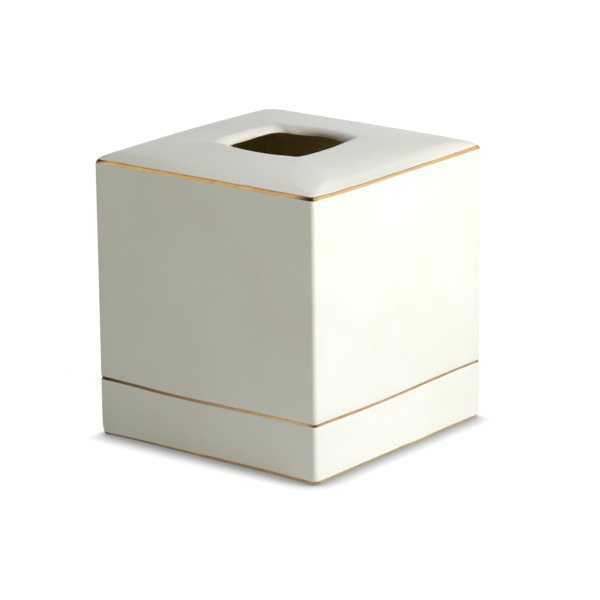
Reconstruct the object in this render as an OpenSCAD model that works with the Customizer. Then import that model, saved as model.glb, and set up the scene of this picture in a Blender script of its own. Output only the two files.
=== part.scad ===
// Square glazed porcelain cover for an upright box of facial tissues.
// It drops over the box from above, and the tissues are drawn through the opening in the crown.
// Millimetres, +Z up, origin at the centre of the footprint on the surface it stands on.

/* [Body] */
// Width and depth of the square body across its flat walls
body_w = 133; // [124:1:170]
// Height of the upright walls, up to the gilded bevel
wall_h = 136.5; // [100:0.5:180]
// Thickness of the cast walls and of the crown
wall_t = 4; // [3.5:0.1:6]
// Radius of the four upright outer edges
edge_r = 2.2; // [1.2:0.1:5]
// Radius of the four upright corners inside the hollow
hollow_r = 6; // [3:0.5:12]

/* [Crown] */
// Rise of the gilded bevel between the walls and the shoulder
bevel_rise = 2; // [1:0.1:3]
// Inward run of the gilded bevel
bevel_run = 1.05; // [0.6:0.05:2]
// Slope of the shoulder where it leaves the bevel, in degrees
shoulder_slope = 40; // [25:1:50]
// Radius of the soft shoulder round the crown
shoulder_r = 15.3; // [10:0.1:22]
// Slope where the shoulder runs into the broad crown, in degrees
crown_slope = 4.8; // [3:0.1:8]

/* [Dispensing opening] */
// Clear width of the opening between opposite sides of its throat
throat_w = 52; // [36:0.5:64]
// Radius of the throat's corners
throat_r = 5; // [3:0.5:12]
// Height of the upright land that is left in the throat under the rolled lip
throat_land = 0.3; // [0.2:0.1:1]
// Radius on the underside edge of the throat
throat_under_r = 0.7; // [0.3:0.1:1]

/* [Foot] */
// Radius that rolls the outside of the walls under the foot
foot_r = 2; // [1:0.1:2.4]
// Radius on the inner edge of the foot rim
foot_inner_r = 0.8; // [0.3:0.1:1]

/* [Gold lines] */
// Depth of the gold in its seat
gold_t = 0.25; // [0.15:0.05:0.5]
// Height of the middle of the plinth line above the foot
plinth_line_z = 29.4; // [15:0.2:60]
// Width of the plinth line
plinth_line_w = 1.5; // [0.8:0.1:3]
// Depth of the plinth line's gold below the face of the wall
plinth_sink = 0.2; // [0.1:0.05:0.5]
// Height of the middle of the foot line above the foot
foot_line_z = 1.3; // [0.9:0.1:1.6]
// Width of the foot line
foot_line_w = 1.2; // [0.5:0.1:1.4]

/* [Hidden] */

// How far a cutting tool runs past the face that it cuts
overrun = 1;

$fn = 96;
// Sides of the very wide arc of the crown
CROWN_FN = 1440;

half_w = body_w / 2;

// Where the bevel ends and the shoulder starts, measured from the body's axis
shoulder_start_x = half_w - bevel_run;
shoulder_start_z = wall_h + bevel_rise;

// Centre of the shoulder's arc
shoulder_x = shoulder_start_x - shoulder_r * sin(shoulder_slope);
shoulder_z = shoulder_start_z - shoulder_r * cos(shoulder_slope);

// Centre and radius of the crown's arc, which the shoulder's arc meets without a kink
crown_r = shoulder_r + shoulder_x / sin(crown_slope);
crown_z = shoulder_z - (crown_r - shoulder_r) * cos(crown_slope);

// Height of the crown above the foot at a distance from the body's axis
function crown_height(x) = crown_z + sqrt(crown_r * crown_r - x * x);

crown_top_z = crown_height(0);

// Lip that rolls from the crown down into the throat
lip_r = wall_t - throat_land - throat_under_r;
lip_outer = throat_w / 2 + lip_r;
lip_top_z = crown_height(lip_outer);

// Height of the underside of the crown where the throat's lower edge starts to round
throat_low_z = crown_height(throat_w / 2 + throat_under_r) - wall_t;

// Slope of the bevel, in degrees, and its distance from the body's axis at a height
bevel_angle = atan2(bevel_rise, bevel_run);
function bevel_x(z, inset) = half_w + (wall_h - z) / tan(bevel_angle) - inset / sin(bevel_angle);

// Depth of the back of the plinth line's gold under the face of the wall
plinth_depth = plinth_sink + gold_t;

// Square with round corners, centred
module rounded_square(w, r) {
    square([w, w - 2 * r], center = true);
    square([w - 2 * r, w], center = true);
    for (sx = [-1, 1], sy = [-1, 1])
        translate([sx * (w / 2 - r), sy * (w / 2 - r)])
            circle(r = r);
}

// Everything under the gilded bevel's two slopes, drawn in by inset
module bevel_outline(inset) {
    low_z = -overrun;
    top_z = crown_top_z + overrun;
    polygon([
        [-bevel_x(low_z, inset), low_z],
        [bevel_x(low_z, inset), low_z],
        [bevel_x(top_z, inset), top_z],
        [-bevel_x(top_z, inset), top_z],
    ]);
}

// Shoulder and crown as one smooth arch, drawn in by inset
module arch_outline(inset) {
    side = shoulder_x + shoulder_r - inset;
    fan_x = 2 * crown_r * sin(crown_slope);
    fan_z = 2 * crown_r * cos(crown_slope);
    translate([-side, -overrun])
        square([2 * side, shoulder_z + overrun]);
    for (s = [-1, 1])
        translate([s * shoulder_x, shoulder_z])
            circle(r = shoulder_r - inset);
    translate([0, crown_z])
        intersection() {
            circle(r = crown_r - inset, $fn = CROWN_FN);
            polygon([[0, 0], [fan_x, fan_z], [-fan_x, fan_z]]);
        }
}

// Cross-section under the bevel, the shoulder and the crown, drawn in by inset
module crown_section(inset) {
    intersection() {
        bevel_outline(inset);
        arch_outline(inset);
    }
}

// Cross-section of the walls with the round under the foot, drawn in by inset
module foot_section(inset) {
    side = half_w - inset;
    r = foot_r - inset;
    translate([-side, foot_r])
        square([2 * side, crown_top_z]);
    translate([-(side - r), foot_r - r])
        square([2 * (side - r), r]);
    for (s = [-1, 1])
        translate([s * (side - r), foot_r])
            circle(r = r);
}

// One cross-section run both ways through the body, so that its slopes meet in mitres
module crossed() {
    intersection() {
        rotate([90, 0, 0])
            linear_extrude(body_w, center = true)
                children();
        rotate([90, 0, 90])
            linear_extrude(body_w, center = true)
                children();
    }
}

// Upright square column of the body with round corners, drawn in by inset
module column(inset, corner_r) {
    translate([0, 0, -overrun])
        linear_extrude(crown_top_z + 2 * overrun)
            rounded_square(body_w - 2 * inset, corner_r);
}

// Everything under the crown, open towards the foot, drawn in by inset
module crowned_form(inset, corner_r) {
    intersection() {
        crossed()
            crown_section(inset);
        column(inset, corner_r);
    }
}

// The column with its foot rolled under, drawn in by inset
module footed_form(inset, corner_r) {
    intersection() {
        crossed()
            foot_section(inset);
        column(inset, corner_r);
    }
}

// Outer form of the body
module body_form() {
    intersection() {
        crossed()
            crown_section(0);
        footed_form(0, edge_r);
    }
}

// What lies between two heights
module between(low_z, high_z) {
    intersection() {
        children();
        translate([-body_w, -body_w, low_z])
            cube([2 * body_w, 2 * body_w, high_z - low_z]);
    }
}

// Section of what is cut away where a flat face at height zero rolls over into an upright throat.
// The throat's side is at zero, and the material lies outside it and below the face.
module roll_section(roll) {
    difference() {
        translate([-overrun, -roll])
            square([roll + overrun, roll + overrun]);
        translate([roll, -roll])
            circle(r = roll);
    }
}

// Rolled edge round the mouth of a square throat of width w and corner radius r
module rolled_mouth(w, r, roll) {
    straight = w - 2 * r;
    for (a = [0, 90, 180, 270])
        rotate([0, 0, a]) {
            translate([w / 2, 0, 0])
                rotate([90, 0, 0])
                    linear_extrude(straight, center = true)
                        roll_section(roll);
            translate([w / 2 - r, w / 2 - r, 0])
                rotate_extrude(angle = 90)
                    translate([r, 0])
                        roll_section(roll);
        }
}

// Opening through the crown, with its rolled lip and the rounded edge under it
module dispensing_opening() {
    translate([0, 0, wall_h / 2])
        linear_extrude(wall_h)
            rounded_square(throat_w, throat_r);
    translate([0, 0, lip_top_z])
        rolled_mouth(throat_w, throat_r, lip_r);
    translate([0, 0, throat_low_z])
        mirror([0, 0, 1])
            rolled_mouth(throat_w, throat_r, throat_under_r);
}

// Rounding of the inner edge of the foot rim
module foot_inner_edge() {
    mirror([0, 0, 1])
        rolled_mouth(body_w - 2 * wall_t, hollow_r, foot_inner_r);
}

// Gold on the bevel between the walls and the crown
module top_edge_gold_band() {
    color("goldenrod")
        between(wall_h, wall_h + bevel_rise)
            difference() {
                crowned_form(0, edge_r);
                crowned_form(gold_t, edge_r - gold_t);
            }
}

// Gold in the bottom of the shallow groove that marks off the plinth
module plinth_gold_band() {
    color("goldenrod")
        between(plinth_line_z - plinth_line_w / 2, plinth_line_z + plinth_line_w / 2)
            difference() {
                column(plinth_sink, edge_r - plinth_sink);
                column(plinth_depth, edge_r - plinth_depth);
            }
}

// Groove for the plinth line, as deep as the back of its gold
module plinth_groove() {
    between(plinth_line_z - plinth_line_w / 2, plinth_line_z + plinth_line_w / 2)
        difference() {
            column(-overrun, edge_r);
            column(plinth_depth, edge_r - plinth_depth);
        }
}

// Gold on the round under the foot
module foot_gold_band() {
    color("goldenrod")
        between(foot_line_z - foot_line_w / 2, foot_line_z + foot_line_w / 2)
            difference() {
                footed_form(0, edge_r);
                footed_form(gold_t, edge_r - gold_t);
            }
}

// One-piece cast body: walls, plinth, shoulder, crown and rolled lip
module cover_shell() {
    color("ivory")
        difference() {
            body_form();
            crowned_form(wall_t, hollow_r);
            dispensing_opening();
            foot_inner_edge();
            top_edge_gold_band();
            plinth_groove();
            foot_gold_band();
        }
}

cover_shell();
top_edge_gold_band();
plinth_gold_band();
foot_gold_band();
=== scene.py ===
# Looks of a square porcelain tissue box cover with fine gold lines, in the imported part's own frame.
# Every position is in metres. MM turns a size written in millimetres into metres.
import math

import bpy
import numpy as np
from mathutils import Matrix, Vector, noise


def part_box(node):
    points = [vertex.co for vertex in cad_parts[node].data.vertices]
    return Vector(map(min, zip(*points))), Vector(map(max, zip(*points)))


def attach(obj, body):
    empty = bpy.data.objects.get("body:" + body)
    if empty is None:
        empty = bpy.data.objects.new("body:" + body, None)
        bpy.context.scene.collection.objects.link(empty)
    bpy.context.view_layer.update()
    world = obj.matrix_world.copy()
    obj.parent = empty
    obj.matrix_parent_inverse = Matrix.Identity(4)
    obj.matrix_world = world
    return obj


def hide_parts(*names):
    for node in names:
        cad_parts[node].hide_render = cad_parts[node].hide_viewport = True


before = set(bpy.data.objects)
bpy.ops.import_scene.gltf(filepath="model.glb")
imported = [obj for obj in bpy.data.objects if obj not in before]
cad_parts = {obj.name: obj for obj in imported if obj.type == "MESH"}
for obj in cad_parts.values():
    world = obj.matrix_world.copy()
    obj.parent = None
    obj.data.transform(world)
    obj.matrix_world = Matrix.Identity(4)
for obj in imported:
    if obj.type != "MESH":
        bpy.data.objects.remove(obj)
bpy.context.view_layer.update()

MM = 0.001

# Camera, as matched to the photograph: degrees, metres and pixels of a 600 pixel frame
CAMERA_AZIMUTH = 38.246
CAMERA_ELEVATION = 15.837
CAMERA_ROLL = -0.574
CAMERA_DISTANCE = 1.5888
CAMERA_AIM_RIGHT = 4.57 * MM
CAMERA_AIM_HEIGHT = 64.12 * MM
FOCAL_PIXELS = 3265.9
FRAME_PIXELS = 600
SENSOR_MM = 36.0
CAMERA_CLIP = (0.05, 50.0)

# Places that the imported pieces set
TOP_LINE_LOW, TOP_LINE_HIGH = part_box("top_edge_gold_band")
PLINTH_LINE_LOW, PLINTH_LINE_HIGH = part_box("plinth_gold_band")
FOOT_LINE_LOW, FOOT_LINE_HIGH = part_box("foot_gold_band")

HALF_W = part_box("cover_shell")[1].x
WALL_TOP = TOP_LINE_LOW.z
BEVEL_TOP = TOP_LINE_HIGH.z
PLINTH_Z = (PLINTH_LINE_LOW.z + PLINTH_LINE_HIGH.z) / 2
PLINTH_LINE_W = PLINTH_LINE_HIGH.z - PLINTH_LINE_LOW.z
FOOT_LINE_Z = (FOOT_LINE_LOW.z + FOOT_LINE_HIGH.z) / 2
FOOT_LINE_W = FOOT_LINE_HIGH.z - FOOT_LINE_LOW.z

# Form of the cast body, as in the part
WALL_T = 4.0 * MM
BEVEL_RUN = 1.05 * MM
SHOULDER_SLOPE = math.radians(40)
SHOULDER_R = 15.3 * MM
CROWN_SLOPE = math.radians(4.8)
THROAT_HALF = 26.0 * MM
LIP_R = 3.0 * MM
THROAT_UNDER_R = 0.7 * MM
FOOT_R = 2.0 * MM
FOOT_INNER_R = 0.8 * MM

# Softness of the kinks at the bevel, as the length that each rounding takes on either side
BEVEL_SOFT = 0.5 * MM

# Underside of the crown: how far from the throat it starts, and how far its ends next to the throat
# and next to the hollow's shoulder lie under the top of the hollow
UNDER_START = 3.0 * MM
UNDER_DROP_NEAR = 0.6 * MM
UNDER_DROP_FAR = 2.0 * MM

# Corner radii of the level rings that the body is skinned over
EDGE_R = 2.2 * MM
FOOT_CORNER_R = 4.2 * MM
FOOT_CORNER_RISE = 6.5 * MM
LIP_CORNER_R = 3.2 * MM
THROAT_CORNER_R = 8.0 * MM
SHOULDER_CORNER_R = 13.0 * MM
HOLLOW_CORNER_R = 6.0 * MM

# Groove that holds the plinth line. It runs a little past the line, and a higher taper makes its
# bottom narrower
GROOVE_PAST_LINE = 0.2 * MM
GROOVE_DEPTH = 0.4 * MM
GROOVE_HALF = PLINTH_LINE_W / 2 + GROOVE_PAST_LINE
GROOVE_TAPER = 1.5

# How finely the rings are cut, and the outline: the longest steps of its straight stretches and the
# widest steps of its arcs, in degrees
SIDE_STEPS = 40
CORNER_STEPS = 10
GROOVE_POINTS = 15
BEND_POINTS = 6
STEPS = {"fine": 0.3 * MM, "rim": 0.6 * MM, "plinth": 2.5 * MM, "wall": 4 * MM, "hollow": 5 * MM}
ARC_DEGREES = {"crown": 0.12, "shoulder": 2.5, "lip": 6, "hollow": 8, "foot": 9, "throat": 12, "rim": 15}

# Points closer than this are one point, and no length is divided by less than the tiny one
SAME_PLACE = 1e-7
TINY = 1e-9
# Distance to either side at which the outline is read for its normal
NORMAL_REACH = 0.12 * MM


def smooth(t):
    """Smooth step from 0 to 1."""
    t = np.clip(t, 0.0, 1.0)
    return t * t * (3 - 2 * t)


def arc(centre, radius, start, end, step):
    """Points of an arc of half-width and height, by angles from straight up."""
    count = max(2, int(math.ceil(abs(end - start) / step)) + 1)
    angles = np.linspace(start, end, count)
    return [(centre[0] + radius * math.sin(t), centre[1] + radius * math.cos(t)) for t in angles]


def line(start, end, step):
    """Points of a straight stretch, no further apart than step."""
    count = max(2, int(math.ceil(math.dist(start, end) / step)) + 1)
    return [
        (start[0] + (end[0] - start[0]) * t, start[1] + (end[1] - start[1]) * t)
        for t in np.linspace(0, 1, count)
    ]


def bend(start, corner, end):
    """Points of a soft turn from start to end that the corner pulls towards itself."""
    out = []
    for t in np.linspace(0, 1, BEND_POINTS):
        a, b, c = (1 - t) ** 2, 2 * t * (1 - t), t * t
        out.append(tuple(a * start[k] + b * corner[k] + c * end[k] for k in (0, 1)))
    return out


def towards(start, end, distance):
    """The point that lies at a distance from start on the way to end."""
    share = distance / math.dist(start, end)
    return tuple(start[k] + (end[k] - start[k]) * share for k in (0, 1))


SHOULDER_START = (HALF_W - BEVEL_RUN, BEVEL_TOP)
SHOULDER_C = (
    SHOULDER_START[0] - SHOULDER_R * math.sin(SHOULDER_SLOPE),
    SHOULDER_START[1] - SHOULDER_R * math.cos(SHOULDER_SLOPE),
)
CROWN_R = SHOULDER_R + SHOULDER_C[0] / math.sin(CROWN_SLOPE)
CROWN_C = (0.0, SHOULDER_C[1] - (CROWN_R - SHOULDER_R) * math.cos(CROWN_SLOPE))


def crown_height(x, inset=0.0):
    """Height of the crown, or of its underside, at a distance from the body's axis."""
    r = CROWN_R - inset
    return CROWN_C[1] + math.sqrt(r * r - x * x)


LIP_OUTER = THROAT_HALF + LIP_R
LIP_C = (LIP_OUTER, crown_height(LIP_OUTER) - LIP_R)
THROAT_LOW = crown_height(THROAT_HALF, WALL_T)


def foot_corner(z):
    """Corner radius of the walls at a height: the upright edges grow rounder towards the foot."""
    return EDGE_R + (FOOT_CORNER_R - EDGE_R) * float(smooth((FOOT_CORNER_RISE - z) / FOOT_CORNER_RISE))


def groove_points():
    """The plinth groove's hollow, from its upper edge to its lower one."""
    return [
        (HALF_W - GROOVE_DEPTH * (1 - t * t) ** GROOVE_TAPER, PLINTH_Z - t * GROOVE_HALF)
        for t in np.linspace(-1, 1, GROOVE_POINTS)
    ]


class Outline:
    """Closed outline of half-width and height that the rings follow, read by length along it."""

    def __init__(self, stretches):
        points, corners, names = [], [], []
        self.marks = {}
        for name, stretch, corner_rule in stretches:
            if points and math.dist(points[-1], stretch[0]) < SAME_PLACE:
                stretch = stretch[1:]
            first = max(len(points) - 1, 0)
            for k, p in enumerate(stretch):
                points.append(p)
                corners.append(corner_rule(p, (k + 1) / len(stretch)))
                names.append(name)
            self.marks[name] = (first, len(points) - 1)
        self.names = names
        self.points = np.array(points)
        self.corners = np.array(corners)
        steps = np.linalg.norm(np.diff(self.points, axis=0), axis=1)
        self.length = np.concatenate([[0.0], np.cumsum(steps)])

    def span(self, name):
        """Lengths at which a named stretch starts and ends."""
        low, high = self.marks[name]
        return self.length[low], self.length[high]

    def at(self, length):
        """Half-width, height and corner radius at a length along the outline."""
        return (
            np.interp(length, self.length, self.points[:, 0]),
            np.interp(length, self.length, self.points[:, 1]),
            np.interp(length, self.length, self.corners),
        )

    def normal(self, length):
        """Unit normal of the outline, out of the material, as half-width and height."""
        x0, z0, _ = self.at(length - NORMAL_REACH)
        x1, z1, _ = self.at(length + NORMAL_REACH)
        dx, dz = x1 - x0, z1 - z0
        size = np.maximum(np.hypot(dx, dz), TINY)
        return -dz / size, dx / size


def body_outline():
    """From the throat's lower edge over the lip and crown, down to the foot, and back inside."""
    edge = HALF_W
    inner = HALF_W - WALL_T
    bevel_top_soft = towards(SHOULDER_START, (edge, WALL_TOP), BEVEL_SOFT)
    bevel_low_soft = towards((edge, WALL_TOP), SHOULDER_START, BEVEL_SOFT)
    shoulder_end = SHOULDER_SLOPE - BEVEL_SOFT / SHOULDER_R
    shoulder_out = (
        SHOULDER_C[0] + SHOULDER_R * math.sin(shoulder_end),
        SHOULDER_C[1] + SHOULDER_R * math.cos(shoulder_end),
    )
    crown_from = math.asin(LIP_OUTER / CROWN_R)
    hollow_r = SHOULDER_R - WALL_T
    hollow_top = crown_height(0, WALL_T)
    throat_round = (THROAT_HALF + THROAT_UNDER_R, THROAT_LOW + THROAT_UNDER_R)

    def one(radius):
        return lambda p, t: radius

    def lip_rule(p, t):
        return LIP_CORNER_R + (THROAT_CORNER_R - LIP_CORNER_R) * (1 - t) ** 2

    def crown_rule(p, t):
        share = (p[0] - LIP_OUTER) / (SHOULDER_C[0] - LIP_OUTER)
        return LIP_CORNER_R + (SHOULDER_CORNER_R - LIP_CORNER_R) * float(smooth(share))

    def shoulder_rule(p, t):
        share = (p[0] - SHOULDER_C[0]) / (SHOULDER_START[0] - SHOULDER_C[0])
        return SHOULDER_CORNER_R + (EDGE_R - SHOULDER_CORNER_R) * float(smooth(share))

    def wall_rule(p, t):
        return foot_corner(p[1])

    def foot_rule(p, t):
        return max(foot_corner(p[1]) - (HALF_W - p[0]), HOLLOW_CORNER_R / 2)

    def under_rule(p, t):
        share = (p[0] - THROAT_HALF) / (inner - THROAT_HALF)
        return THROAT_CORNER_R + (HOLLOW_CORNER_R - THROAT_CORNER_R) * min(max(share, 0.0), 1.0)

    turn = {name: math.radians(degrees) for name, degrees in ARC_DEGREES.items()}
    quarter = math.pi / 2
    return Outline([
        ("land", line((THROAT_HALF, throat_round[1]), (THROAT_HALF, LIP_C[1]), STEPS["fine"]),
         one(THROAT_CORNER_R)),
        ("lip", arc(LIP_C, LIP_R, -quarter, 0, turn["lip"]), lip_rule),
        ("crown", arc(CROWN_C, CROWN_R, crown_from, CROWN_SLOPE, turn["crown"]), crown_rule),
        ("shoulder", arc(SHOULDER_C, SHOULDER_R, CROWN_SLOPE, shoulder_end, turn["shoulder"]),
         shoulder_rule),
        ("bevel", bend(shoulder_out, SHOULDER_START, bevel_top_soft), shoulder_rule),
        ("bevel_face", line(bevel_top_soft, bevel_low_soft, STEPS["fine"]), one(EDGE_R)),
        ("bevel_foot", bend(bevel_low_soft, (edge, WALL_TOP), (edge, WALL_TOP - BEVEL_SOFT)),
         one(EDGE_R)),
        ("wall", line((edge, WALL_TOP - BEVEL_SOFT), (edge, PLINTH_Z + GROOVE_HALF), STEPS["wall"]),
         wall_rule),
        ("groove", groove_points(), wall_rule),
        ("plinth", line((edge, PLINTH_Z - GROOVE_HALF), (edge, FOOT_R), STEPS["plinth"]), wall_rule),
        ("foot", arc((edge - FOOT_R, FOOT_R), FOOT_R, quarter, 2 * quarter, turn["foot"]), foot_rule),
        ("rim", line((edge - FOOT_R, 0), (inner + FOOT_INNER_R, 0), STEPS["rim"]), foot_rule),
        ("rim_inside", arc((inner + FOOT_INNER_R, FOOT_INNER_R), FOOT_INNER_R, 2 * quarter, 3 * quarter,
                           turn["rim"]), one(HOLLOW_CORNER_R)),
        ("hollow", line((inner, FOOT_INNER_R), (inner, SHOULDER_C[1]), STEPS["hollow"]),
         one(HOLLOW_CORNER_R)),
        ("hollow_shoulder", arc((inner - hollow_r, SHOULDER_C[1]), hollow_r, quarter, CROWN_SLOPE,
                                turn["hollow"]), under_rule),
        ("under", line((inner - hollow_r, hollow_top - UNDER_DROP_FAR),
                       (THROAT_HALF + UNDER_START, hollow_top - UNDER_DROP_NEAR), STEPS["wall"]),
         under_rule),
        ("throat_edge", arc(throat_round, THROAT_UNDER_R, 2 * quarter, 3 * quarter, turn["throat"]),
         one(THROAT_CORNER_R)),
    ])


# Numbers of the +X and -Y sides of a ring, each of which has the corner that follows it
SIDE_PLUS_X = 0
SIDE_MINUS_Y = 3


class Rings:
    """Level rounded-square rings with the same points on each, counted round from the +X side."""

    def __init__(self):
        side = [(t, 0.0) for t in np.linspace(-1, 1, SIDE_STEPS + 1)]
        corner = [(1.0, a) for a in np.linspace(0, math.pi / 2, CORNER_STEPS + 1)[1:-1]]
        quarter = side + corner
        self.along = np.array([t for t, _ in quarter] * 4)
        self.turn = np.array([a for _, a in quarter] * 4)
        self.side = np.repeat(np.arange(4), len(quarter))
        self.count = len(self.along)
        spin = self.side * math.pi / 2
        self.cos, self.sin = np.cos(spin), np.sin(spin)
        facing = spin + self.turn
        self.out = np.stack([np.cos(facing), np.sin(facing), np.zeros(self.count)], axis=1)

    def points(self, half, corner, height):
        """Ring points for a half-width, a corner radius and a height, each one value or one a point."""
        flat = half - corner
        x = flat + corner * np.cos(self.turn)
        y = flat * self.along + corner * np.sin(self.turn)
        out = np.empty((self.count, 3))
        out[:, 0] = x * self.cos - y * self.sin
        out[:, 1] = x * self.sin + y * self.cos
        out[:, 2] = height
        return out


OUTLINE = body_outline()
RINGS = Rings()
# How far the top gold line is painted past the bevel's flat face, above it and below it, and the
# lengths along the outline where it starts and ends
PAINT_ABOVE_BEVEL = 0.3 * MM
PAINT_BELOW_BEVEL = 0.45 * MM
TOP_LINE_START = OUTLINE.span("bevel_face")[0] - PAINT_ABOVE_BEVEL
TOP_LINE_END = OUTLINE.span("bevel_face")[1] + PAINT_BELOW_BEVEL

# How far the plinth line sags below level in the middle of each wall, and how far it leans to one
# side: +X, +Y, -X and -Y walls
LINE_SAG = np.array([0.65, 0.4, 0.5, 0.75]) * MM
LINE_LEAN = np.array([-0.35, 0.2, -0.2, -0.25]) * MM
# How far the middle of the shoulder stands out on each side
SHOULDER_SWELL = np.array([0.0, 0.0, 0.8, 0.0]) * MM
# How far the shoulder has slumped, over what length of the outline, how strongly its deepest part is
# drawn towards the gold line, and what share of it there is at eight places round the body,
# anticlockwise from the middle of the +X side
SHOULDER_SLUMP = 1.3 * MM
SLUMP_REACH = 24.4 * MM
SLUMP_DRAW = 2.5
SLUMP_SHARES = np.array([1.0, 0.2, 0.0, 0.0, 0.0, 0.1, 0.7, 0.9])
# How far the edge between wall and shoulder dips in the middle of the +X side, and what share of that
# comes on top towards its -Y end
EDGE_DIP = 0.45 * MM
EDGE_DIP_LEAN = 0.8
# How far the foot stands off the floor between the corners of the -Y side
FOOT_LIFT = 0.5 * MM
# How far up and down the wall the plinth line's stray, the dip and the lift reach
PLINTH_STRAY_REACH = 9 * MM
EDGE_DIP_REACH = 6 * MM
FOOT_LIFT_REACH = 8 * MM
# Depth, length and seed of the long, soft hollows of the cast faces
CAST_WAVE = 0.16 * MM
CAST_WAVE_LENGTH = 70 * MM
CAST_WAVE_SEED = 1
# The opening was cut and sponged by hand. At sixteen places round it, anticlockwise from the middle of
# the +X side: how far its edge lies from that of a true square in x and in y, how much wider its roll
# is than the part's, and how far the throat's lower edge drops
OPENING_MOVES = np.array([
    (-2.9, 1.0, 0.2, 0.0),
    (-4.0, 0.5, 0.0, 0.0),
    (-4.7, -1.8, 0.0, 0.0),
    (-2.0, 0.8, 1.0, -0.3),
    (-2.5, 1.6, 1.5, -0.4),
    (-2.0, -0.3, 1.3, 0.0),
    (-0.2, -2.7, 0.6, -0.2),
    (-2.7, 0.3, 1.0, 0.5),
    (-2.4, 1.2, 1.2, 0.5),
    (-2.8, 1.0, 1.2, 0.6),
    (-0.5, 5.3, 0.5, 0.3),
    (-2.0, 2.0, 0.2, 0.0),
    (-2.0, 0.5, 0.2, 0.0),
    (-1.0, 0.6, 0.2, 0.0),
    (-3.0, 3.1, 0.0, 0.0),
    (-2.9, 0.0, 0.2, 0.0),
]) * MM
# How far the lower edge of the throat strays besides, over what length, and the seed of that
TRIM_STRAY = 0.25 * MM
TRIM_LENGTH = 11 * MM
TRIM_SEED = 2
# How strongly painted shade, brown like light bounced inside the hollow, darkens the lip towards the throat
# at those sixteen places, as a share of its full strength
THROAT_SHADE_SHARES = np.array([0.4, 0.5, 0.8, 0.9, 0.9, 0.7, 0.1, 0.1, 0.1, 0.1, 0.2, 0.4, 0.3, 0.3, 0.3, 0.4])


def near(height, place, reach):
    """1 at a height, falling softly to 0 a little more than the reach away from it."""
    return np.exp(-(((height - place) / reach) ** 2))


def line_drop(height):
    """How far a point of the wall drops with the lines on it, for each point of a ring."""
    bow = (1 - RINGS.along ** 2) ** 2
    lean = np.sin(math.pi * RINGS.along) * (1 - RINGS.along ** 2)
    plinth = LINE_SAG[RINGS.side] * bow + LINE_LEAN[RINGS.side] * lean
    dip = EDGE_DIP * (RINGS.side == SIDE_PLUS_X) * (1 - RINGS.along ** 4)
    dip *= 1 - EDGE_DIP_LEAN * RINGS.along
    lift = FOOT_LIFT * (RINGS.side == SIDE_MINUS_Y) * (1 - RINGS.along ** 8)
    return (
        plinth * near(height, PLINTH_Z, PLINTH_STRAY_REACH)
        + dip * near(height, BEVEL_TOP, EDGE_DIP_REACH)
        - lift * near(height, 0.0, FOOT_LIFT_REACH)
    )


# How far apart in the noise two seeds read it
SEED_STEP = (7.31, 3.17, 5.77)


def stray(points, size, seed):
    """Smooth noise from -1 to 1 at each point, with features about size across."""
    shift = Vector([seed * step for step in SEED_STEP])
    return np.array([noise.noise(Vector(p) / size + shift) for p in points])


def beside_opening(length, full, none):
    """1 from the throat to the length full, falling to 0 at the length none and at the hollow's top."""
    outside = smooth((none - length) / (none - full))
    under_start, under_end = OUTLINE.span("under")
    inside = smooth((length - under_start) / (under_end - under_start))
    return np.maximum(outside, inside)


def round_curve(values, turns):
    """The smooth closed curve through evenly spaced values, read at turns from 0 to 1."""
    place = turns * len(values)
    first = np.floor(place).astype(int)
    t = (place - first)[:, None]
    before, start, end, after = (values[(first + k) % len(values)] for k in (-1, 0, 1, 2))
    slope = (end - before) * t
    bow = (2 * before - 5 * start + 4 * end - after) * t ** 2
    twist = (3 * start - before - 3 * end + after) * t ** 3
    return start + (slope + bow + twist) / 2


def turns_of(points):
    """Where points lie round the body, in turns from 0 to 1, anticlockwise from +X."""
    return np.arctan2(points[:, 1], points[:, 0]) / (2 * math.pi) % 1.0


def round_opening(values):
    """Values given at even turns round the opening, for each point of a ring."""
    return round_curve(values, turns_of(RINGS.points(LIP_OUTER, LIP_CORNER_R, 0)))


EDGE_MOVES = round_opening(OPENING_MOVES)


def swell(length):
    """How far the shoulder stands out at a length along the outline, for each point of a ring."""
    low, high = OUTLINE.span("crown")[0], OUTLINE.span("shoulder")[1]
    share = np.clip((length - low) / (high - low), 0.0, 1.0)
    return SHOULDER_SWELL[RINGS.side] * (1 - RINGS.along ** 2) * np.sin(math.pi * share ** 2) ** 2


def slump(length):
    """How far the shoulder has sunk at a length along the outline, for each point of a ring."""
    share = np.clip((length - TOP_LINE_START) / SLUMP_REACH + 1, 0.0, 1.0)
    around = round_curve(SLUMP_SHARES[:, None], turns_of(RINGS.points(HALF_W, 0, 0)))[:, 0]
    return SHOULDER_SLUMP * around * np.sin(math.pi * share ** SLUMP_DRAW)


def opening_warp(length, points):
    """How the hand-cut opening moves points of a ring away from a true square."""
    land, lip, crown = (OUTLINE.span(name)[1] for name in ("land", "lip", "crown"))
    throat = beside_opening(length, land, lip)
    trim = TRIM_STRAY * stray(points * (1, 1, 0), TRIM_LENGTH, TRIM_SEED)
    move = RINGS.out * ((trim - EDGE_MOVES[:, 2]) * throat)[:, None]
    move[:, :2] += EDGE_MOVES[:, :2] * beside_opening(length, lip, crown)[:, None]
    move[:, 2] -= EDGE_MOVES[:, 3] * throat
    return move


def skin(length, lift=0.0):
    """Points of the body at a length along the outline, one a point of the ring, raised by lift."""
    length = np.broadcast_to(np.asarray(length, float), (RINGS.count,))
    half, height, corner = OUTLINE.at(length)
    normal_out, normal_up = OUTLINE.normal(length)
    place = RINGS.points(half, corner, height)
    normal = RINGS.out * normal_out[:, None]
    normal[:, 2] += normal_up
    hollow = CAST_WAVE * (stray(place, CAST_WAVE_LENGTH, CAST_WAVE_SEED) - 1) / 2
    hollow *= 1 - beside_opening(length, OUTLINE.span("lip")[1], OUTLINE.span("crown")[1])
    warp = opening_warp(length, place)
    warp[:, 2] -= line_drop(height) + slump(length)
    return place + warp + normal * (lift + hollow + swell(length))[:, None]


def show(name, data):
    """Puts a mesh, a lamp or a camera in the scene as an object of that name."""
    obj = bpy.data.objects.new(name, data)
    bpy.context.scene.collection.objects.link(obj)
    return obj


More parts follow.
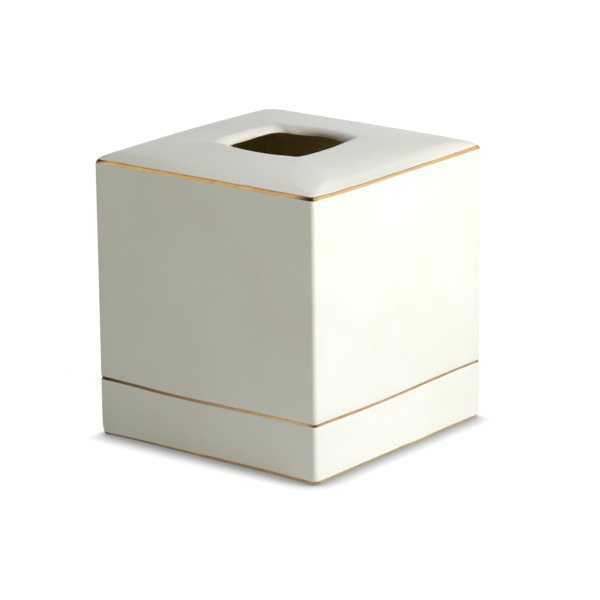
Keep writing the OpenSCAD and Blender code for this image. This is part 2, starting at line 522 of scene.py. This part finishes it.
def skinned(name, layers, materials, layer_materials):
    """A closed tube of rings: each layer joins the next, and the last joins the first."""
    count = RINGS.count
    total = len(layers)
    faces = []
    for k in range(total):
        low, high = k * count, ((k + 1) % total) * count
        for i in range(count):
            j = (i + 1) % count
            faces.append((low + i, high + i, high + j, low + j))
    mesh = bpy.data.meshes.new(name)
    mesh.from_pydata([tuple(v) for v in np.concatenate(layers)], [], faces)
    for material in materials:
        mesh.materials.append(material)
    mesh.polygons.foreach_set("use_smooth", [True] * len(faces))
    mesh.polygons.foreach_set("material_index", np.repeat(layer_materials, count).tolist())
    mesh.update()
    mesh.validate()
    return show(name, mesh)


def set_values(obj, values_by_name):
    """Gives each point of an object's mesh a value under each name, for its material to read."""
    for name, values in values_by_name.items():
        attribute = obj.data.attributes.new(name, "FLOAT", "POINT")
        attribute.data.foreach_set("value", values)


def new_material(name):
    """A material with its node tree and its shader."""
    material = bpy.data.materials.new(name)
    material.use_nodes = True
    tree = material.node_tree
    return material, tree, tree.nodes["Principled BSDF"]


def add(tree, kind, inputs=None, **settings):
    """A node with its settings and the values of its inputs."""
    node = tree.nodes.new(kind)
    for key, value in settings.items():
        setattr(node, key, value)
    for key, value in (inputs or {}).items():
        node.inputs[key].default_value = value
    return node


def object_place(tree):
    """Where the shaded point lies, in metres."""
    return add(tree, "ShaderNodeTexCoord").outputs["Object"]


def point_value(tree, name):
    """A value that set_values() gave to the mesh."""
    return add(tree, "ShaderNodeAttribute", attribute_name=name).outputs["Fac"]


def noise_node(tree, place, look):
    """Noise from 0 to 1. Its look holds its scale, as features per metre, and its detail."""
    scale, detail = look
    node = add(tree, "ShaderNodeTexNoise", {"Scale": scale, "Detail": detail})
    tree.links.new(place, node.inputs["Vector"])
    return node.outputs["Fac"]


def ramp(tree, factor, places, low, high):
    """A colour that runs from low to high while the factor goes from the first place to the second."""
    node = add(tree, "ShaderNodeValToRGB")
    for element, place, colour in zip(node.color_ramp.elements, places, (low, high)):
        element.position = place
        element.color = (*colour, 1.0)
    tree.links.new(factor, node.inputs["Fac"])
    return node.outputs["Color"]


def map_range(tree, factor, low, high, from_low=0.0, from_high=1.0):
    """A value that runs from low to high while the factor goes from from_low to from_high."""
    node = add(tree, "ShaderNodeMapRange", {
        "From Min": from_low, "From Max": from_high, "To Min": low, "To Max": high,
    })
    tree.links.new(factor, node.inputs["Value"])
    return node.outputs["Result"]


def math_node(tree, operation, first, second):
    """A Math node whose first input is a link and whose second is a link or a number."""
    node = add(tree, "ShaderNodeMath", operation=operation)
    tree.links.new(first, node.inputs[0])
    if isinstance(second, (int, float)):
        node.inputs[1].default_value = second
    else:
        tree.links.new(second, node.inputs[1])
    return node.outputs[0]


def mix_colour(tree, factor, colour, other):
    """Mixes a linked colour with a plain one."""
    node = add(tree, "ShaderNodeMix", data_type="RGBA")
    tree.links.new(factor, node.inputs["Factor"])
    tree.links.new(colour, node.inputs[6])
    node.inputs[7].default_value = (*other, 1.0)
    return node.outputs[2]


def bump(tree, shader, height, depth, strength=1.0):
    """Fine relief of a depth, drawn by a height from 0 to 1."""
    node = add(tree, "ShaderNodeBump", {"Strength": strength, "Distance": depth})
    tree.links.new(height, node.inputs["Height"])
    tree.links.new(node.outputs["Normal"], shader.inputs["Normal"])


# Colours, as linear red, green and blue
IVORY = (0.80, 0.80, 0.735)
IVORY_POOLED = (0.77, 0.765, 0.67)
# Painted shade of the lip where it turns down into the throat, brown like light bounced inside
THROAT_PAINTED_SHADE = (0.34, 0.26, 0.15)
BISQUE = (0.70, 0.66, 0.56)
# Warm buff of the inside, which gives the shaded hole its brown tone
INSIDE = (0.78, 0.64, 0.35)
GOLD = (0.64, 0.42, 0.17)
GOLD_WARM = (0.56, 0.32, 0.13)
# Painted light: paler gold on the sides that face the lamps
GOLD_PAINTED_LIGHT = (0.95, 0.73, 0.36)
# Darker gold for thin worn lustre and for painted shade on the sides away from the lamps
GOLD_WORN_AND_SHADED = (0.10, 0.06, 0.03)
# Painted dark reflection at one edge of the gold, with thin brown lustre
GOLD_THIN_AND_DARK_REFLECTION = (0.12, 0.06, 0.02)
# Darkest gold, for the dark spots at the upright edges
GOLD_CORNER_SPOT = (0.05, 0.022, 0.008)

# Every noise below is named with its scale, as features per metre, and its detail

# Glaze: its clouds, orange peel and fine grain, where in the clouds the colour turns, the range of its
# roughness, the peel's depth and strength, and how it bends and throws back light
GLAZE_CLOUDS = (22.0, 3.0)
GLAZE_PEEL = (180.0, 2.0)
GLAZE_GRAIN = (900.0, 2.0)
CLOUD_TURN = (0.30, 0.62)
GLAZE_ROUGHNESS = (0.09, 0.16)
PEEL_DEPTH = 0.03 * MM
PEEL_STRENGTH = 0.6
GLAZE_IOR = 1.5
GLAZE_SPECULAR = 0.15


def glaze_material():
    """Ivory glaze: glossy, a little uneven in thickness, with faint pooling and painted shade that
    darkens the lip towards the throat."""
    material, tree, shader = new_material("ivory_glaze")
    place = object_place(tree)
    colour = ramp(tree, noise_node(tree, place, GLAZE_CLOUDS), CLOUD_TURN, IVORY_POOLED, IVORY)
    # Painted shade on the lip towards the throat
    colour = mix_colour(tree, point_value(tree, "painted_dark"), colour, THROAT_PAINTED_SHADE)
    tree.links.new(colour, shader.inputs["Base Color"])
    grain = noise_node(tree, place, GLAZE_GRAIN)
    tree.links.new(map_range(tree, grain, *GLAZE_ROUGHNESS), shader.inputs["Roughness"])
    bump(tree, shader, noise_node(tree, place, GLAZE_PEEL), PEEL_DEPTH, PEEL_STRENGTH)
    shader.inputs["IOR"].default_value = GLAZE_IOR
    shader.inputs["Specular IOR Level"].default_value = GLAZE_SPECULAR
    return material


# Bare clay, under the foot and inside: its colour, how bright its stains are as a share of that, the
# stains, its roughness, its grain and the grain's depth
RIM_CLAY = (BISQUE, 0.82, (120.0, 4.0), 0.9, (2500.0, 3.0), 0.04 * MM)
INSIDE_CLAY = (INSIDE, 0.8, (35.0, 4.0), 0.8, (700.0, 4.0), 0.1 * MM)
# Where in the stains the colour turns
STAIN_TURN = (0.3, 0.7)


def clay_material(name, colour, stain_shade, stains, roughness, grain, grain_depth):
    """Unglazed clay: matt and slightly stained."""
    material, tree, shader = new_material(name)
    place = object_place(tree)
    stained = tuple(c * stain_shade for c in colour)
    tint = ramp(tree, noise_node(tree, place, stains), STAIN_TURN, stained, colour)
    tree.links.new(tint, shader.inputs["Base Color"])
    shader.inputs["Roughness"].default_value = roughness
    bump(tree, shader, noise_node(tree, place, grain), grain_depth)
    return material


# Gold lustre: its brush strokes, the slow drift of the brush's lean, where in the strokes the colour
# turns, the range of its roughness, and the strokes' depth and strength
GOLD_STROKES = (150.0, 3.0)
GOLD_DRIFT = (16.0, 1.0)
STROKE_TURN = (0.35, 0.62)
GOLD_ROUGHNESS = (0.24, 0.44)
STROKE_DEPTH = 0.04 * MM
STROKE_STRENGTH = 0.4
# Which edge carries the painted dark reflection and thin lustre, from -1 for the lower one to 1 for the
# upper one, at either end of its turn, and where in the drift that turn lies
DARK_EDGE_SIDE = (-0.25, 1.0)
DARK_EDGE_SIDE_TURN = (0.38, 0.5)
# Share of painted dark reflection and thin brown lustre at that edge and further in, and where across the
# line each is reached, as a share of the line's width from its middle
DARK_EDGE_SHARES = (0.85, 0.0)
DARK_EDGE_ACROSS = (-0.5, -0.12)
# Where a point's corner-spot value starts to show and where it shows in full
CORNER_SPOT_TURN = (0.1, 0.8)


def gold_material():
    """Hand-painted gold lustre: bright and soft, with strokes of the brush. It carries painted dark
    reflection and thin brown lustre at one edge, painted light on the sides that face the lamps, wear and
    painted shade, and dark spots at the upright edges."""
    material, tree, shader = new_material("gold_lustre")
    place = object_place(tree)
    strokes = noise_node(tree, place, GOLD_STROKES)
    drift = noise_node(tree, place, GOLD_DRIFT)
    # Painted dark reflection and thin lustre along the upper edge, and along the lower one where the drift
    # turns the other way
    middle = math_node(tree, "SUBTRACT", point_value(tree, "across"), 0.5)
    dark_side = math_node(tree, "MULTIPLY", middle, map_range(tree, drift, *DARK_EDGE_SIDE, *DARK_EDGE_SIDE_TURN))
    painted_dark = map_range(tree, dark_side, *DARK_EDGE_SHARES, *DARK_EDGE_ACROSS)
    corner_spots = map_range(tree, point_value(tree, "corner_spots"), 0.0, 1.0, *CORNER_SPOT_TURN)
    colour = ramp(tree, strokes, STROKE_TURN, GOLD_WARM, GOLD)
    # Painted light on the gold of the sides that face the lamps
    colour = mix_colour(tree, point_value(tree, "painted_light"), colour, GOLD_PAINTED_LIGHT)
    colour = mix_colour(tree, painted_dark, colour, GOLD_THIN_AND_DARK_REFLECTION)
    # Wear and painted shade on the gold, more on the sides away from the lamps
    colour = mix_colour(tree, point_value(tree, "wear_and_painted_shade"), colour, GOLD_WORN_AND_SHADED)
    colour = mix_colour(tree, corner_spots, colour, GOLD_CORNER_SPOT)
    tree.links.new(colour, shader.inputs["Base Color"])
    shader.inputs["Metallic"].default_value = 1.0
    tree.links.new(map_range(tree, strokes, *GOLD_ROUGHNESS), shader.inputs["Roughness"])
    bump(tree, shader, strokes, STROKE_DEPTH, STROKE_STRENGTH)
    return material


# Which stretches of the outline are bare clay
BARE_RIM = {"rim"}
BARE_INSIDE = {"rim_inside", "hollow", "hollow_shoulder", "under", "throat_edge"}
# How quickly the painted shade on the lip fades from the throat to the top of the lip
THROAT_SHADE_FALL = 1.5


def make_shell():
    """The cast body, skinned over its rings, with glaze outside and bare clay under and inside."""
    layers = [skin(length) for length in OUTLINE.length]
    kinds = []
    for k in range(len(layers)):
        name = OUTLINE.names[(k + 1) % len(layers)]
        kinds.append(1 if name in BARE_RIM else 2 if name in BARE_INSIDE else 0)
    materials = [
        glaze_material(),
        clay_material("bare_foot_rim", *RIM_CLAY),
        clay_material("bare_inside", *INSIDE_CLAY),
    ]
    shell = skinned("porcelain_cover", layers, materials, kinds)
    # Painted shade on the lip: full at the throat, gone at the top of the lip
    low, high = OUTLINE.span("land")[0], OUTLINE.span("lip")[1]
    fall = np.clip((high - OUTLINE.length) / (high - low), 0.0, 1.0)
    painted_dark = np.outer(fall ** THROAT_SHADE_FALL, round_opening(THROAT_SHADE_SHARES[:, None])[:, 0])
    set_values(shell, {"painted_dark": painted_dark.ravel()})
    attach(shell, "root")
    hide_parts("cover_shell")
    return shell


# Rings across a gold line's face, how far the face stands over the glaze in its middle and at its
# edges, and how deep the line's back lies in the glaze
BAND_RINGS = 9
BAND_LIFT = 0.07 * MM
BAND_EDGE_LIFT = 0.01 * MM
BAND_SINK = 0.15 * MM
# How far each edge strays from the line, and over what length
BRUSH_STRAY = 0.12 * MM
BRUSH_LENGTH = 12 * MM
# How far each edge of the plinth line stays inside its groove
GROOVE_MARGIN = 0.25 * MM


def corner_spot_strength(points, across, corner_spots):
    """How strongly the gold darkens into a spot at each point, by its distance from the upright edges.

    For each upright edge, the last argument gives three reaches: along the wall that faces Y, at the line's
    upper and lower edges, and along the wall that faces X.
    """
    right, back = points[:, 0] > 0, points[:, 1] > 0
    upper, lower, beside = (
        np.select([right & back, ~right & back, ~right & ~back], corner_spots[:3, k], corner_spots[3, k]) for k in range(3)
    )
    from_x = (HALF_W - np.abs(points[:, 0])) / (upper + (lower - upper) * across)
    from_y = (HALF_W - np.abs(points[:, 1])) / beside
    return np.exp(-(from_x ** 2) - from_y ** 2)


def make_band(name, node, start, end, look, seed, material):
    """A gold line between two lengths along the outline, with hand-painted edges."""
    middle = skin((start + end) / 2)
    wear_and_painted_shade, narrow = round_curve(np.stack([look["wear_and_painted_shade"], look["narrow"]], axis=1), turns_of(middle)).T
    upper = start + narrow * MM + BRUSH_STRAY * stray(middle, BRUSH_LENGTH, seed)
    lower = end - narrow * MM + BRUSH_STRAY * stray(middle, BRUSH_LENGTH, seed + 1)
    face, back = [], []
    steps = np.linspace(0, 1, BAND_RINGS)
    for t in steps:
        length = upper + (lower - upper) * t
        fullness = 1 - (2 * t - 1) ** 2
        face.append(skin(length, BAND_EDGE_LIFT + (BAND_LIFT - BAND_EDGE_LIFT) * fullness))
        back.append(skin(length, -BAND_SINK))
    layers = face + back[::-1]
    band = skinned(name, layers, [material], [0] * len(layers))
    across = np.repeat(np.concatenate([steps, steps[::-1]]), RINGS.count)
    set_values(band, {
        "across": across,
        "painted_light": np.tile(np.array(look["painted_light"])[RINGS.side], len(layers)),
        "wear_and_painted_shade": np.tile(np.clip(wear_and_painted_shade, 0.0, 1.0), len(layers)),
        "corner_spots": corner_spot_strength(np.tile(middle, (len(layers), 1)), across, np.array(look["corner_spots"]) * MM),
    })
    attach(band, "root")
    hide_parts(node)
    return band


# How each line looks. Its first entry is the share of painted light, paler gold, on the +X, +Y, -X and -Y
# sides. Its second is the share of thin brown lustre and painted shade, and narrow what each edge of the
# line falls short of its full width in millimetres, at eight places anticlockwise from the middle of the +X
# side. Its last holds the reaches of the dark spots in millimetres, as the function above reads them, at the
# upright edges +X+Y, -X+Y, -X-Y and +X-Y
TOP_LOOK = {
    "painted_light": (0.5, 0.2, 0.0, 0.0),
    "wear_and_painted_shade": (0.0, 0.1, 0.2, 0.2, 0.1, 0.0, 0.0, 0.0),
    "narrow": (0.12, 0.0, 0.1, 0.0, 0.0, 0.0, 0.0, 0.05),
    "corner_spots": ((2.5, 2.5, 2.5), (2.0, 2.0, 2.0), (10.0, 2.5, 2.5), (6.5, 12.0, 2.6)),
}
PLINTH_LOOK = {
    "painted_light": (0.0, 0.0, 0.0, 0.0),
    "wear_and_painted_shade": (0.15, 0.30, 0.4, 0.3, 0.5, 0.95, 0.62, 0.15),
    "narrow": (0.25, 0.22, 0.1, 0.0, 0.0, 0.0, 0.0, 0.1),
    "corner_spots": ((3.0, 3.0, 3.0), (4.0, 4.0, 4.0), (11.0, 11.0, 4.0), (3.2, 3.2, 2.3)),
}
FOOT_LOOK = {
    "painted_light": (1.0, 0.4, 0.0, 0.0),
    "wear_and_painted_shade": (0.0, 0.0, 0.3, 0.3, 0.5, 0.6, 0.3, 0.0),
    "narrow": (-0.3, -0.2, 0.0, 0.0, 0.0, 0.1, -0.3, -0.35),
    "corner_spots": ((1.5, 1.5, 1.5), (4.0, 4.0, 4.0), (6.0, 6.0, 5.0), (2.0, 2.0, 1.0)),
}
# Which stretch of the noise each line's brush strays by
TOP_SEED = 11
PLINTH_SEED = 21
FOOT_SEED = 31


def make_bands():
    """The three gold lines: top edge, plinth and foot."""
    gold = gold_material()
    make_band("gold_line_top", "top_edge_gold_band", TOP_LINE_START, TOP_LINE_END, TOP_LOOK, TOP_SEED, gold)
    start, end = OUTLINE.span("groove")
    make_band("gold_line_plinth", "plinth_gold_band", start + GROOVE_MARGIN, end - GROOVE_MARGIN,
              PLINTH_LOOK, PLINTH_SEED, gold)
    middle = OUTLINE.span("plinth")[1] + FOOT_R * math.asin((FOOT_R - FOOT_LINE_Z) / FOOT_R)
    make_band("gold_line_foot", "foot_gold_band", middle - FOOT_LINE_W / 2, middle + FOOT_LINE_W / 2,
              FOOT_LOOK, FOOT_SEED, gold)


FLOOR_SIZE = 8.0
# What the floor gives back to the object, and what it shows of the lamps' light
FLOOR_ALBEDO = 0.80
FLOOR_SHOWN = 0.20
# Reach of the soft contact shadow round the foot, how far it shows past the -X and +Y sides, how much of
# the sky is hidden where it is darkest, and how bright the floor is there and beyond it
CONTACT_REACH = 13 * MM
CONTACT_PAST_BACK = 4 * MM
CONTACT_HIDDEN = 0.5
CONTACT_DARK = 0.30
OPEN_WHITE = 0.97


def seen_directly(tree):
    """1 for rays that show the background: camera, glossy and transmission rays."""
    path = add(tree, "ShaderNodeLightPath")
    either = math_node(tree, "MAXIMUM", path.outputs["Is Camera Ray"], path.outputs["Is Glossy Ray"])
    return math_node(tree, "MAXIMUM", either, path.outputs["Is Transmission Ray"])


def contact_brightness(tree):
    """How bright the floor is, with the soft shadow round the foot."""
    occlusion = add(tree, "ShaderNodeAmbientOcclusion", {"Distance": CONTACT_REACH})
    place = add(tree, "ShaderNodeSeparateXYZ")
    tree.links.new(object_place(tree), place.inputs[0])
    past_x = map_range(tree, place.outputs["X"], 0.0, 1.0, -HALF_W - CONTACT_PAST_BACK, -HALF_W)
    past_y = map_range(tree, place.outputs["Y"], 1.0, 0.0, HALF_W, HALF_W + CONTACT_PAST_BACK)
    shade = math_node(tree, "SUBTRACT", occlusion.outputs["AO"], 1.0)
    shade = math_node(tree, "MULTIPLY", shade, math_node(tree, "MULTIPLY", past_x, past_y))
    return map_range(tree, shade, CONTACT_DARK, OPEN_WHITE, -CONTACT_HIDDEN, 0.0)


def make_floor():
    """A pale floor that renders white in the open and keeps the object's shadow."""
    mesh = bpy.data.meshes.new("floor")
    half = FLOOR_SIZE / 2
    corners = [(-half, -half, 0), (half, -half, 0), (half, half, 0), (-half, half, 0)]
    mesh.from_pydata(corners, [], [(0, 1, 2, 3)])
    material = bpy.data.materials.new("floor_paper")
    material.use_nodes = True
    tree = material.node_tree
    tree.nodes.remove(tree.nodes["Principled BSDF"])
    seen = seen_directly(tree)
    matt = add(tree, "ShaderNodeBsdfDiffuse")
    tree.links.new(map_range(tree, seen, FLOOR_ALBEDO, FLOOR_SHOWN), matt.inputs["Color"])
    glow = add(tree, "ShaderNodeEmission", {"Color": (1, 1, 1, 1)})
    tree.links.new(math_node(tree, "MULTIPLY", seen, contact_brightness(tree)), glow.inputs["Strength"])
    both = add(tree, "ShaderNodeAddShader")
    tree.links.new(matt.outputs[0], both.inputs[0])
    tree.links.new(glow.outputs[0], both.inputs[1])
    tree.links.new(both.outputs[0], tree.nodes["Material Output"].inputs["Surface"])
    mesh.materials.append(material)
    show("floor", mesh)


def make_world():
    """White to the camera and in reflections, black to everything else."""
    world = bpy.data.worlds.new("studio")
    bpy.context.scene.world = world
    world.use_nodes = True
    tree = world.node_tree
    tree.nodes.clear()
    white = add(tree, "ShaderNodeBackground", {"Color": (1, 1, 1, 1)})
    out = add(tree, "ShaderNodeOutputWorld")
    tree.links.new(seen_directly(tree), white.inputs["Strength"])
    tree.links.new(white.outputs[0], out.inputs["Surface"])


# Lamps: azimuth and elevation in degrees, anticlockwise from +X, distance in metres, width and height in
# metres, the level of light that each gives at the object as a share of a white sky's, and colour
LAMP_AIM = Vector((0, 0, 80 * MM))
KEY_COLOUR = (0.985, 0.98, 1.0)
KEY_HIGH_COLOUR = (0.96, 0.96, 1.0)
FILL_COLOUR = (1.0, 1.0, 0.87)
BACK_COLOUR = (1.0, 1.0, 0.92)
LAMPS = {
    "key_low": (10, 20, 0.90, (0.35, 0.35), 0.62, KEY_COLOUR),
    "key_high": (-5, 50, 0.60, (0.35, 0.35), 0.535, KEY_HIGH_COLOUR),
    "front_low": (-80, -0.5, 1.20, (1.0, 0.13), 0.142, FILL_COLOUR),
    "front_high": (-95, 35, 0.42, (0.20, 0.20), 0.128, FILL_COLOUR),
    "back_fill": (140, 3, 1.20, (0.8, 0.28), 0.30, BACK_COLOUR),
}
# The one lamp that shows in the glaze and the gold
MIRRORED_LAMP = "key_high"


def make_lamp(name, azimuth, elevation, distance, size, level, colour):
    """A soft box that faces the object from a direction."""
    a, e = math.radians(azimuth), math.radians(elevation)
    towards_lamp = Vector((math.cos(e) * math.cos(a), math.cos(e) * math.sin(a), math.sin(e)))
    data = bpy.data.lights.new(name, "AREA")
    data.shape = "RECTANGLE"
    data.size, data.size_y = size
    data.energy = level * math.pi ** 2 * distance ** 2
    data.color = colour
    lamp = show(name, data)
    lamp.location = LAMP_AIM + towards_lamp * distance
    lamp.rotation_euler = towards_lamp.to_track_quat("Z", "Y").to_euler()
    lamp.visible_camera = False
    lamp.visible_glossy = name == MIRRORED_LAMP


def make_lights():
    """All the lamps."""
    for name, values in LAMPS.items():
        make_lamp(name, *values)


def make_camera():
    """The photograph's camera."""
    a, e, r = (math.radians(v) for v in (CAMERA_AZIMUTH, CAMERA_ELEVATION, CAMERA_ROLL))
    back = Vector((math.sin(a) * math.cos(e), -math.cos(a) * math.cos(e), math.sin(e)))
    level = Vector((math.cos(a), math.sin(a), 0))
    upright = back.cross(level)
    right = level * math.cos(r) + upright * math.sin(r)
    up = upright * math.cos(r) - level * math.sin(r)
    place = level * CAMERA_AIM_RIGHT + Vector((0, 0, CAMERA_AIM_HEIGHT)) + back * CAMERA_DISTANCE
    data = bpy.data.cameras.new("camera")
    data.sensor_width = SENSOR_MM
    data.lens = FOCAL_PIXELS / FRAME_PIXELS * SENSOR_MM
    data.clip_start, data.clip_end = CAMERA_CLIP
    camera = show("camera", data)
    camera.matrix_world = Matrix((
        (right.x, up.x, back.x, place.x),
        (right.y, up.y, back.y, place.y),
        (right.z, up.z, back.z, place.z),
        (0, 0, 0, 1),
    ))
    bpy.context.scene.camera = camera


make_camera()
make_world()
make_floor()
make_lights()
make_shell()
make_bands()

bpy.context.scene.view_settings.view_transform = "Standard"
bpy.context.view_layer.update()
